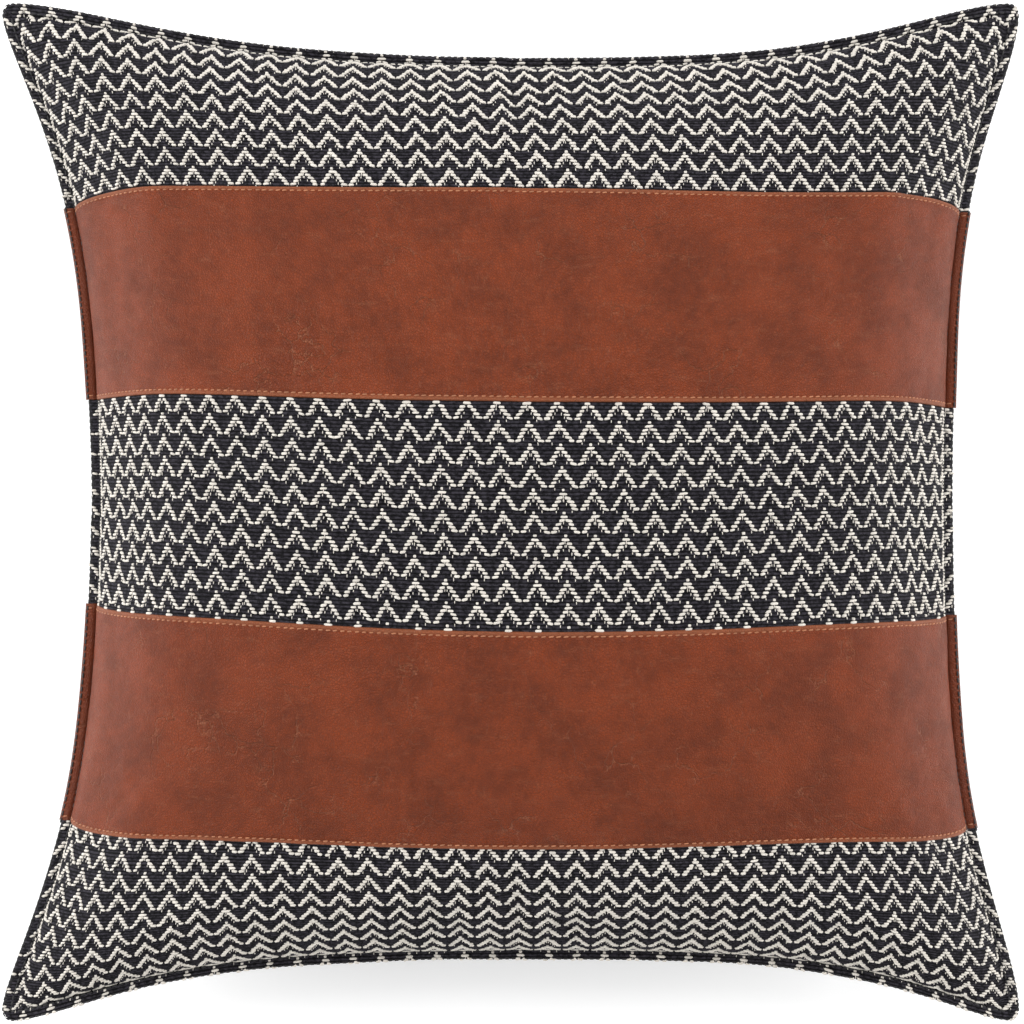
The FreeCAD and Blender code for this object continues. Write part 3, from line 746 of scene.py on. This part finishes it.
def finish(name):
    """One finish by name, made the first time that a piece asks for it."""
    if name not in FINISHES:
        colours = bpy.context.scene.pillow_colours
        makers = {
            "ground": lambda: ground_finish(colours),
            "pale": lambda: pale_finish(colours),
            "leather": lambda: leather_finish(colours),
            "leather_thread": lambda: thread_finish("leather_thread", tuple(colours.thread)),
            "black_thread": lambda: thread_finish("black_thread", (0.014, 0.013, 0.014)),
            "back": lambda: back_finish(colours),
            "tape": lambda: tape_finish("zip_tape", (0.018, 0.018, 0.020)),
            "label": lambda: tape_finish("label_cloth", (0.66, 0.65, 0.62)),
            "metal": metal_finish,
            "coil": coil_finish,
            "ticking": lambda: ticking_finish("ticking", (0.78, 0.77, 0.74)),
            "fill": lambda: ticking_finish("filling", (0.86, 0.86, 0.84)),
        }
        FINISHES[name] = makers[name]()
    return FINISHES[name]


# ---------------------------------------------------------------- pieces

# each band's lower and upper edge, counted in bands from the middle of the cover
BANDS = {"lower": (-2.5, -1.5), "middle": (-0.5, 0.5), "upper": (1.5, 2.5)}
LEATHERS = {"lower": (-1.5, -0.5), "upper": (0.5, 1.5)}
# rows of yarn in one zigzag; cloth that runs on under the leather; topstitching to the leather's edge
YARN_ROWS = 6
UNDERLAP = 3 * MM
LEATHER_SEAM = 2.1 * MM


class Piece:
    """What the operators share."""

    bl_options = {"REGISTER", "UNDO"}

    @property
    def sizes(self):
        return bpy.context.scene.pillow_sizes

    @property
    def band(self):
        return self.sizes.cover / 5

    def sides(self, step, half):
        """Places across the cover at an even step."""
        count = int(round(2 * half / step)) + 1
        return np.linspace(-half, half, count)


class PILLOW_OT_ground(Piece, bpy.types.Operator):
    """The dark ribbed ground of the three woven bands"""

    bl_idname = "pillow.ground"
    bl_label = "Woven ground"

    def execute(self, context):
        """A rib's lift is (0.5 + 0.5 * cos(turn)) ** 0.7 times its height, one turn for each row of yarn."""
        row = self.sizes.repeat_up / YARN_ROWS
        half = self.sizes.cover / 2
        across = self.sides(2.6 * MM, half)
        for number, (name, (low, high)) in enumerate(BANDS.items()):
            low, high = low * self.band, high * self.band
            low = low if low <= -half + MM else low - UNDERLAP
            high = high if high >= half - MM else high + UNDERLAP
            up = self.sides(row / 4, (high - low) / 2) + (high + low) / 2
            a, b = np.meshgrid(across, up)
            turn = (b - self.sizes.start_up) / row * 2 * np.pi
            unevenness = value_noise(a / (5 * MM), b / row, 31 + number)
            rib = (0.5 + 0.5 * np.cos(turn)) ** 0.7 * (0.62 + 0.2 * unevenness) * MM
            hidden = np.minimum(half - np.abs(a), half - np.abs(b))
            rib = rib * smooth(hidden, 0, 1.5 * MM)
            # height on the rib, stored as the rib attribute; the ground finish paints shade into the grooves
            # where it is low
            rib_crest_for_shade = (0.5 + 0.5 * np.cos(turn)) * (1 + 0.5 * unevenness)
            piece = add_shell("woven_band_" + name, a, b, rib, 0.5 * MM, True, finish("ground"),
                              {"rib": rib_crest_for_shade})
            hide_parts("front_%s_woven_band" % name)
        return {"FINISHED"}


class PILLOW_OT_zigzag(Piece, bpy.types.Operator):
    """The ivory floats that draw the zigzags"""

    bl_idname = "pillow.zigzag"
    bl_label = "Zigzag floats"

    # each row of a zigzag from its tip down, in millimetres: its two floats' distance from its middle, and
    # their length
    ROWS = ((0.0, 1.7), (0.0, 4.3), (1.75, 3.0), (2.95, 3.1), (4.05, 3.1), (5.2, 3.1))

    def execute(self, context):
        sizes = self.sizes
        row = sizes.repeat_up / YARN_ROWS
        half = sizes.cover / 2
        for number, (name, (low, high)) in enumerate(BANDS.items()):
            rng = np.random.default_rng(sizes.seed + number)
            low, high = max(low * self.band, -half) + 0.2 * MM, min(high * self.band, half) - 0.2 * MM
            tips = np.arange(math.floor(low / sizes.repeat_up) - 1, math.ceil(high / sizes.repeat_up) + 2)
            columns = np.arange(-20, 21)
            column, tip = (grid.ravel() for grid in np.meshgrid(columns, tips))
            a, b, length, upright, slant = [], [], [], [], []
            for place, (apart, wide) in enumerate(self.ROWS):
                drift = (-tip + place / YARN_ROWS) * 0.55 * MM
                middle = column * sizes.repeat_across + sizes.start_across + drift
                level = tip * sizes.repeat_up + sizes.start_up - place * row
                for side in ((-1, 1) if apart else (0,)):
                    a.append(middle + side * apart * MM)
                    b.append(level + np.zeros(len(column)))
                    length.append(np.full(len(column), wide * MM * (1.06 if side > 0 else 1.0)))
                    upright.append(np.zeros(len(column), bool))
                    slant.append(np.full(len(column), -side * 0.16 if apart else 0.0))
                    if place >= 1:
                        inner = apart - wide / 2 + 0.1 if apart else 0.0
                        a.append(middle + side * inner * MM)
                        b.append(level - row * 0.75)
                        length.append(np.full(len(column), (1.9 if place == 1 else 1.35) * MM))
                        upright.append(np.ones(len(column), bool))
                        slant.append(np.full(len(column), np.pi / 2))
            a, b, length, upright, slant = map(np.concatenate, (a, b, length, upright, slant))
            count = len(a)
            a = a + rng.normal(0, 0.16, count) * MM
            b = b + rng.normal(0, 0.07, count) * MM
            length = length * (1 + rng.normal(0, 0.09, count))
            shade = np.clip(rng.normal(0.35, 0.3, count), 0, 1)
            kept = (b > low) & (b < high) & (np.abs(a) < half - 0.8 * MM)
            kept &= ~upright | (rng.uniform(0, 1, count) < 0.6)
            a, b, length, upright, slant, shade = (
                part[kept] for part in (a, b, length, upright, slant, shade))
            width = np.where(upright, 0.42, 1.36) * MM * (1 + rng.normal(0, 0.07, len(a)))
            lift = np.where(upright, 0.55, 0.50) * MM
            heading = slant + rng.normal(0, 0.06, len(a))
            height = np.where(upright, 0.3, 0.66) * MM
            piece = add_yarns("zigzag_floats_" + name, a, b, heading, length, width, height, lift,
                              finish("pale"), shade=shade)
        return {"FINISHED"}


class PILLOW_OT_leather(Piece, bpy.types.Operator):
    """The two leather bands, with turned edges that lap over the woven bands"""

    bl_idname = "pillow.leather"
    bl_label = "Leather bands"

    def execute(self, context):
        """The lift is the thickness, rounded off as a quarter circle at the edges, less a bell-shaped groove
        under the stitches, plus slow unevenness."""
        half = self.sizes.cover / 2 + 1.3 * MM
        thick = self.sizes.leather
        for name, (low, high) in LEATHERS.items():
            low, high = low * self.band, high * self.band
            middle, reach = (low + high) / 2, (high - low) / 2
            near = np.array([0, 0.12, 0.3, 0.6, 1.0, 1.6, 2.1, 2.6, 3.2, 4.0]) * MM
            inner = self.sides(1.7 * MM, reach - 5 * MM)
            up = np.concatenate([near - reach, inner, reach - near[::-1]]) + middle
            a, b = np.meshgrid(self.sides(2.0 * MM, half), up)
            edge = reach - np.abs(b - middle)
            end = half - np.abs(a)
            rounded = np.sqrt(1 - (1 - np.clip(edge / (0.6 * MM), 0, 1)) ** 2)
            rounded = np.minimum(rounded, np.sqrt(1 - (1 - np.clip(end / (0.8 * MM), 0, 1)) ** 2))
            groove = np.exp(-((edge - LEATHER_SEAM) / (0.55 * MM)) ** 2)
            lift = 0.25 * MM + thick * rounded - 0.28 * MM * groove
            lift += 0.25 * MM * smooth(value_noise(a / (9 * MM), b / (9 * MM), 5), -1, 1)
            lift += 0.10 * MM * value_noise(a / (2.6 * MM), b / (2.6 * MM), 9)
            pale = (1 - smooth(edge, 1.3 * MM, 2.2 * MM)) * 0.45
            crease = form().crease
            # painted shade past the crease: fold darkens the leather on the flange and takes off the paler
            # edge there
            fold = 0.55 * smooth(np.abs(a), crease - 1 * MM, crease + 1 * MM)
            piece = add_shell("leather_band_" + name, a, b, lift, -0.1 * MM, True, finish("leather"),
                              {"edge": pale * (1 - fold), "fold": fold})
            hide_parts("front_%s_leather_band" % name)
        return {"FINISHED"}


class PILLOW_OT_leather_stitches(Piece, bpy.types.Operator):
    """The pale topstitching along both edges of each leather band"""

    bl_idname = "pillow.leather_stitches"
    bl_label = "Leather topstitching"

    def execute(self, context):
        sizes = self.sizes
        for number, (name, (low, high)) in enumerate(LEATHERS.items()):
            rng = np.random.default_rng(sizes.seed + 10 + number)
            across = np.arange(-sizes.cover / 2 + 2 * MM, sizes.cover / 2 - MM, sizes.stitch)
            inset = LEATHER_SEAM
            a = np.tile(across, 2) + rng.normal(0, 0.1, 2 * len(across)) * MM
            b = np.repeat([low * self.band + inset, high * self.band - inset], len(across))
            heading = rng.normal(0.12, 0.03, len(a))
            piece = add_yarns("leather_topstitch_" + name, a, b, heading, 2.5 * MM, 0.75 * MM, 0.34 * MM,
                              sizes.leather + 0.12 * MM, finish("leather_thread"))
            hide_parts("%s_leather_topstitch" % name)
        return {"FINISHED"}


class PILLOW_OT_flange_stitches(Piece, bpy.types.Operator):
    """The black stitches at the crease and along the edge of the flange, and the allowance inside it"""

    bl_idname = "pillow.flange_stitches"
    bl_label = "Flange stitching"

    def execute(self, context):
        sizes, cover = self.sizes, form()
        rows = {"flange_inner_topstitch": cover.crease + 1.6 * MM,
                "flange_outer_topstitch": sizes.cover / 2 - 1.0 * MM}
        for number, (node, reach) in enumerate(rows.items()):
            rng = np.random.default_rng(sizes.seed + 20 + number)
            along = np.arange(-reach + 1.5 * MM, reach - 1.5 * MM, 3.2 * MM)
            still = np.full(len(along), reach)
            a = np.concatenate([along, still, along, -still])
            b = np.concatenate([-still, along, still, along])
            heading = np.repeat([0, np.pi / 2, 0, np.pi / 2], len(along)) + rng.normal(0, 0.04, len(a))
            on_leather = (np.abs(np.abs(b) - self.band) < self.band / 2) & (np.abs(a) > cover.crease - MM)
            lift = 0.30 * MM + np.where(on_leather, sizes.leather, 0.2 * MM)
            piece = add_yarns(node + "es", a, b, heading, 2.7 * MM, 0.9 * MM, 0.35 * MM, lift,
                              finish("black_thread"))
            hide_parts(node)
        self.add_allowance(cover)
        return {"FINISHED"}

    def add_allowance(self, cover):
        """Raw edges inside the flange: a flat band round the pillow, midway between front and back."""
        out = np.array([0.5, 3.0, 5.0])[:, None] * MM
        along = np.linspace(-1, 1, 120)[None, :-1]
        reach = cover.crease + out
        one = np.ones_like(along)
        a = np.concatenate([along * reach, one * reach, -along * reach, -one * reach], axis=1)
        b = np.concatenate([-one * reach, along * reach, one * reach, -along * reach], axis=1)
        middle = (cover.place(a, b) + cover.place(a, b, False)) / 2
        lift = np.array([0, 0, 0.3 * MM])
        ring = np.concatenate([middle + lift, (middle - lift)[::-1]])
        around = ring.transpose(1, 0, 2)
        faces = tube_faces(around.shape[0], around.shape[1], closed=True)[:, ::-1]
        piece = add_piece("seam_allowance_edges", around, faces, "root", finish("back"),
                          around[..., :2] * 10)
        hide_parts("seam_allowance")


def zip_point(cover, x, y, z):
    """Point given along the zip, up its slope towards the crease, and outwards from it: the last two are
    turned by the slope."""
    c, s = math.cos(cover.zip_slope), math.sin(cover.zip_slope)
    return np.stack([x, cover.zip_seam - y * c - z * s, cover.zip_level + y * s - z * c], -1)


class PILLOW_OT_back(Piece, bpy.types.Operator):
    """The plain back in two panels, whose folded edges lap the zip's tapes"""

    bl_idname = "pillow.back"
    bl_label = "Back panels"

    # the zip's seam to a folded edge
    GAP = 4.2 * MM

    def folded_edge(self, cover, across, sign):
        """How far up the cloth the folded edge beside the zip runs: the place whose distance from the seam is
        the gap, which closes at the tape's ends."""
        b = np.linspace(-cover.crease, -cover.crease * 0.3, 240)
        grid_a, grid_b = np.meshgrid(across, b)
        y = cover.place(grid_a, grid_b, False)[..., 1]
        opening = 1 - smooth(np.abs(across), TAPE_HIGH[0] - 9 * MM, TAPE_HIGH[0] - 2 * MM)
        target = cover.zip_seam + sign * (self.GAP * opening * math.cos(cover.zip_slope) + 0.15 * MM)
        above = (y > target).argmax(axis=0)
        column = np.arange(len(across))
        y0, y1 = y[above - 1, column], y[above, column]
        share = np.clip((target - y0) / np.maximum(y1 - y0, 1e-9), 0, 1)
        return b[above - 1] + share * (b[1] - b[0])

    def execute(self, context):
        """Rows of each panel run from its folded edge to the flange; a rounded fold and a bell-shaped groove
        where it is stitched to the tape are lifted and sunk along the normal."""
        cover = form()
        half = self.sizes.cover / 2
        across = self.sides(3.0 * MM, half)
        for name, sign, rows in (("back_panel", 1, 130), ("back_zip_strip", -1, 42)):
            edge = self.folded_edge(cover, across, sign)
            share = np.linspace(0, 1, rows)[:, None]
            share = share ** 1.15 if sign > 0 else 1 - (1 - share) ** 1.15
            low, high = (edge, np.full_like(edge, half)) if sign > 0 else (np.full_like(edge, -half), edge)
            b = low + (high - low) * share
            a = np.broadcast_to(across, b.shape)
            from_edge = (b - edge) * sign
            rim = np.minimum(half - np.abs(a), half - np.abs(b))
            lift = 0.35 * MM * np.sqrt(1 - (1 - np.clip(from_edge / (1.0 * MM), 0, 1)) ** 2)
            lift = lift - 0.30 * MM * np.exp(-((from_edge - 6 * MM) / (0.9 * MM)) ** 2)
            lift = lift * smooth(rim, 0, 2 * MM)
            piece = add_shell(name + "_cloth", a, b, lift, 0.4 * MM, False, finish("back"))
            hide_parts(name)
        return {"FINISHED"}


class PILLOW_OT_zip(Piece, bpy.types.Operator):
    """The zip's nylon coils and the finishes of its tapes, stops, slider and pull tab"""

    bl_idname = "pillow.zip"
    bl_label = "Zip"

    # one turn of a coil and its points; the middle of a coil, its half width, half depth and thread
    TURN = 2.0 * MM
    POINTS = 10
    ASIDE, REACH = 1.75 * MM, 1.35 * MM
    ABOVE, DEPTH = 1.25 * MM, 0.62 * MM
    THREAD = 0.3 * MM

    def execute(self, context):
        """Each coil is a helix: y = side * (aside + reach * cos(turn)), z = above + depth * sin(turn)."""
        cover = form()
        low, high = node_box("zipper_coil_upper")
        for name, side in (("upper", -1.0), ("lower", 1.0)):
            steps = int(round((high[0] - low[0]) / self.TURN)) * self.POINTS
            turn = np.arange(steps + 1) / self.POINTS * 2 * np.pi
            x = low[0] + turn / (2 * np.pi) * self.TURN + (self.TURN / 2 if side > 0 else 0)
            x = np.minimum(x, high[0])
            y = side * (self.ASIDE + self.REACH * np.cos(turn))
            z = self.ABOVE + self.DEPTH * np.sin(turn)
            path = zip_point(cover, x, y, z)
            piece = self.tube("zip_coil_" + name, path, self.THREAD)
            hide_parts("zipper_coil_" + name)
        for node in ("zipper_tape_upper", "zipper_tape_lower"):
            self.dress(node, "tape")
        for node in ("zipper_end_stops", "zipper_slider", "zipper_pull_tab"):
            self.dress(node, "metal")
        return {"FINISHED"}

    def dress(self, node, name):
        """Gives a finish to a node of the frame."""
        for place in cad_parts[node].material_slots:
            place.material = finish(name)

    def tube(self, name, path, radius):
        """A round profile of five points carried along a path, square to its direction at each point:
        point = path + radius * (cos(angle) * aside + sin(angle) * up)."""
        ahead = np.gradient(path, axis=0)
        ahead /= np.linalg.norm(ahead, axis=1, keepdims=True)
        aside = np.cross(ahead, [1.0, 0.02, 0.0])
        aside /= np.linalg.norm(aside, axis=1, keepdims=True)
        up = np.cross(ahead, aside)
        angle = np.linspace(0, 2 * np.pi, 5, endpoint=False)
        ring = np.cos(angle)[:, None] * aside[:, None] + np.sin(angle)[:, None] * up[:, None]
        points = path[:, None] + radius * ring
        last = (len(path) - 1) * 5
        caps = [np.array([[4, 3, 2, 1, 0]]), np.array([[0, 1, 2, 3, 4]]) + last]
        return add_piece(name, points, [tube_faces(len(path), 5), *caps], "root", finish("coil"))


class PILLOW_OT_label(Piece, bpy.types.Operator):
    """The blank care label, sewn in at the lower edge of the back"""

    bl_idname = "pillow.label"
    bl_label = "Care label"

    def execute(self, context):
        """The label hangs from the flange's underside, and curls by a sine of the way down."""
        low, high = node_box("care_label")
        cover = form()
        s, t = np.meshgrid(np.linspace(-1, 1, 13), np.linspace(0, 1, 17))
        wide, tall = (high[0] - low[0]) / 2, high[2] - low[2]
        x = (low[0] + high[0]) / 2 + s * wide
        root = cover.place(x * 1.02, np.full(x.shape, -cover.crease - 2.2 * MM), False)
        y = root[..., 1] + 1.4 * MM * np.sin(t * 2.2) * t + 0.5 * MM * s * s * t
        z = root[..., 2] + 0.5 * MM - (tall - 1.5 * MM) * t
        face = np.stack([x, y, z], -1)
        thick = np.array([0, 0.22 * MM, 0])
        points = np.stack([face - thick, face + thick])
        flat = np.stack([s * wide, t * tall], -1) * 10
        piece = add_piece("care_label_cloth", points, shell_faces(*s.shape)[:, ::-1], "root",
                          finish("label"), np.stack([flat, flat]))
        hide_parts("care_label")
        return {"FINISHED"}


class PILLOW_OT_insert(Piece, bpy.types.Operator):
    """The insert inside the cover: two ticking shells, their sewn edge and the filling"""

    bl_idname = "pillow.insert"
    bl_label = "Insert"

    # each layer's size as a share of the cover: the ticking's outer and inner face, sewn edge and filling
    TICKING = (0.968, 0.964)
    SEWN_EDGE = 0.970
    FILLING = 0.960

    def execute(self, context):
        """Each layer is the cover shrunk towards the pillow's middle, and the sewn edge is a ring of tube."""
        cover = form()
        heart = np.array([0, 0, SEAM_LEVEL])
        line = self.sides(9 * MM, cover.crease)
        a, b = np.meshgrid(line, line)
        shapes = {front: cover.place(a, b, front) - heart for front in (True, False)}
        for front, name in ((True, "front"), (False, "back")):
            points = np.stack([heart + shapes[front] * share for share in self.TICKING])
            faces = shell_faces(*a.shape)
            piece = add_piece("insert_ticking_" + name, points, faces if front else faces[:, ::-1], "root",
                              finish("ticking"))
            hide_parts("insert_%s_ticking" % name)
        points = np.stack([heart + shapes[True] * self.FILLING, heart + shapes[False] * self.FILLING])
        filling = add_piece("insert_filling", points, shell_faces(*a.shape), "root", finish("fill"))
        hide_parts("insert_fill")
        edge = cover.crease
        along = np.linspace(-edge, edge, 60)[:-1]
        still = np.full(len(along), edge)
        a = np.concatenate([along, still, -along, -still])
        b = np.concatenate([-still, along, still, -along])
        path = heart + (cover.place(a, b) - heart) * self.SEWN_EDGE
        angle = np.linspace(0, 2 * np.pi, 6, endpoint=False)
        outward = path - heart
        outward[:, 2] = 0
        outward /= np.linalg.norm(outward, axis=1, keepdims=True)
        ring = path[:, None] + 0.8 * MM * (np.cos(angle)[:, None] * outward[:, None]
                                           + np.sin(angle)[:, None] * np.array([0, 0, 1.0]))
        add_piece("insert_sewn_edge", ring, tube_faces(len(path), 6, closed=True), "root",
                  finish("ticking"))
        return {"FINISHED"}


class PILLOW_OT_stage(Piece, bpy.types.Operator):
    """Pale floor, soft lights and the camera straight above"""

    bl_idname = "pillow.stage"
    bl_label = "Stage"

    # name, place, width, height, power in watts
    LIGHTS = (("left_softbox", (-1.25, 0.05, 0.60), 1.0, 0.7, 13.0),
              ("right_softbox", (1.25, 0.05, 0.60), 1.0, 0.7, 10.0),
              ("top_softbox", (0.0, 1.1, 1.9), 1.4, 1.0, 20.0))
    SKY = 0.58
    GLOW = 0.25
    LENS, SENSOR = 60.5, 36.0
    CAMERA_HEIGHT = 0.850

    def execute(self, context):
        floor = Nodes("pale_floor")
        cloud = floor.noise(floor.places(source="object"), 3.0)
        base = floor.mix(cloud, (0.93, 0.93, 0.93), (0.95, 0.95, 0.95))
        white = floor.finish(Base_Color=base, Roughness=0.9, Emission_Color=(1, 1, 1, 1),
                             Emission_Strength=self.GLOW)
        mesh = bpy.data.meshes.new("floor")
        mesh.from_pydata([(-4, -4, 0), (4, -4, 0), (4, 4, 0), (-4, 4, 0)], [], [(0, 1, 2, 3)])
        mesh.materials.append(white)
        ground = bpy.data.objects.new("floor", mesh)
        context.scene.collection.objects.link(ground)
        ground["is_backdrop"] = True

        world = bpy.data.worlds.new("studio")
        world.use_nodes = True
        sky = world.node_tree.nodes["Background"].inputs
        sky["Color"].default_value = (1, 1, 1, 1)
        sky["Strength"].default_value = self.SKY
        context.scene.world = world
        context.scene.view_settings.view_transform = "Standard"

        centre = Vector((0, 0, SEAM_LEVEL))
        for name, place, width, height, power in self.LIGHTS:
            light = bpy.data.lights.new(name, "AREA")
            light.shape, light.size, light.size_y, light.energy = "RECTANGLE", width, height, power
            lamp = bpy.data.objects.new(name, light)
            lamp.location = place
            lamp.rotation_euler = (centre - Vector(place)).to_track_quat("-Z", "Y").to_euler()
            context.scene.collection.objects.link(lamp)

        lens = bpy.data.cameras.new("camera")
        lens.lens, lens.sensor_width = self.LENS, self.SENSOR
        lens.clip_start, lens.clip_end = 0.05, 50
        camera = bpy.data.objects.new("camera", lens)
        camera.location = (0.7 * MM, 0, SEAM_LEVEL + self.CAMERA_HEIGHT)
        context.scene.collection.objects.link(camera)
        context.scene.camera = camera
        return {"FINISHED"}


class PILLOW_PT_panel(bpy.types.Panel):
    """Sizes, colours and pieces of the pillow"""

    bl_idname = "PILLOW_PT_panel"
    bl_label = "Banded throw pillow"
    bl_space_type = "VIEW_3D"
    bl_region_type = "UI"
    bl_category = "Pillow"

    def draw(self, context):
        for group in (context.scene.pillow_sizes, context.scene.pillow_colours):
            box = self.layout.box()
            for key in group.__annotations__:
                box.prop(group, key)
        for operator in OPERATORS:
            self.layout.operator(operator.bl_idname)


OPERATORS = (PILLOW_OT_ground, PILLOW_OT_zigzag, PILLOW_OT_leather, PILLOW_OT_leather_stitches,
             PILLOW_OT_flange_stitches, PILLOW_OT_back, PILLOW_OT_zip, PILLOW_OT_label, PILLOW_OT_insert,
             PILLOW_OT_stage)
CLASSES = (PillowSizes, PillowColours, *OPERATORS, PILLOW_PT_panel)


def register():
    for kind in CLASSES:
        bpy.utils.register_class(kind)
    bpy.types.Scene.pillow_sizes = PointerProperty(type=PillowSizes)
    bpy.types.Scene.pillow_colours = PointerProperty(type=PillowColours)


def unregister():
    del bpy.types.Scene.pillow_colours
    del bpy.types.Scene.pillow_sizes
    for kind in reversed(CLASSES):
        bpy.utils.unregister_class(kind)


def main():
    register()
    bpy.ops.pillow.ground()
    bpy.ops.pillow.zigzag()
    bpy.ops.pillow.leather()
    bpy.ops.pillow.leather_stitches()
    bpy.ops.pillow.flange_stitches()
    bpy.ops.pillow.back()
    bpy.ops.pillow.zip()
    bpy.ops.pillow.label()
    bpy.ops.pillow.insert()
    bpy.ops.pillow.stage()
    visual_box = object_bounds()
    ({"cad": [list(corner) for corner in CAD_BOX],
               "visual": [list(corner) for corner in visual_box]})


if __name__ == "__main__":
    main()
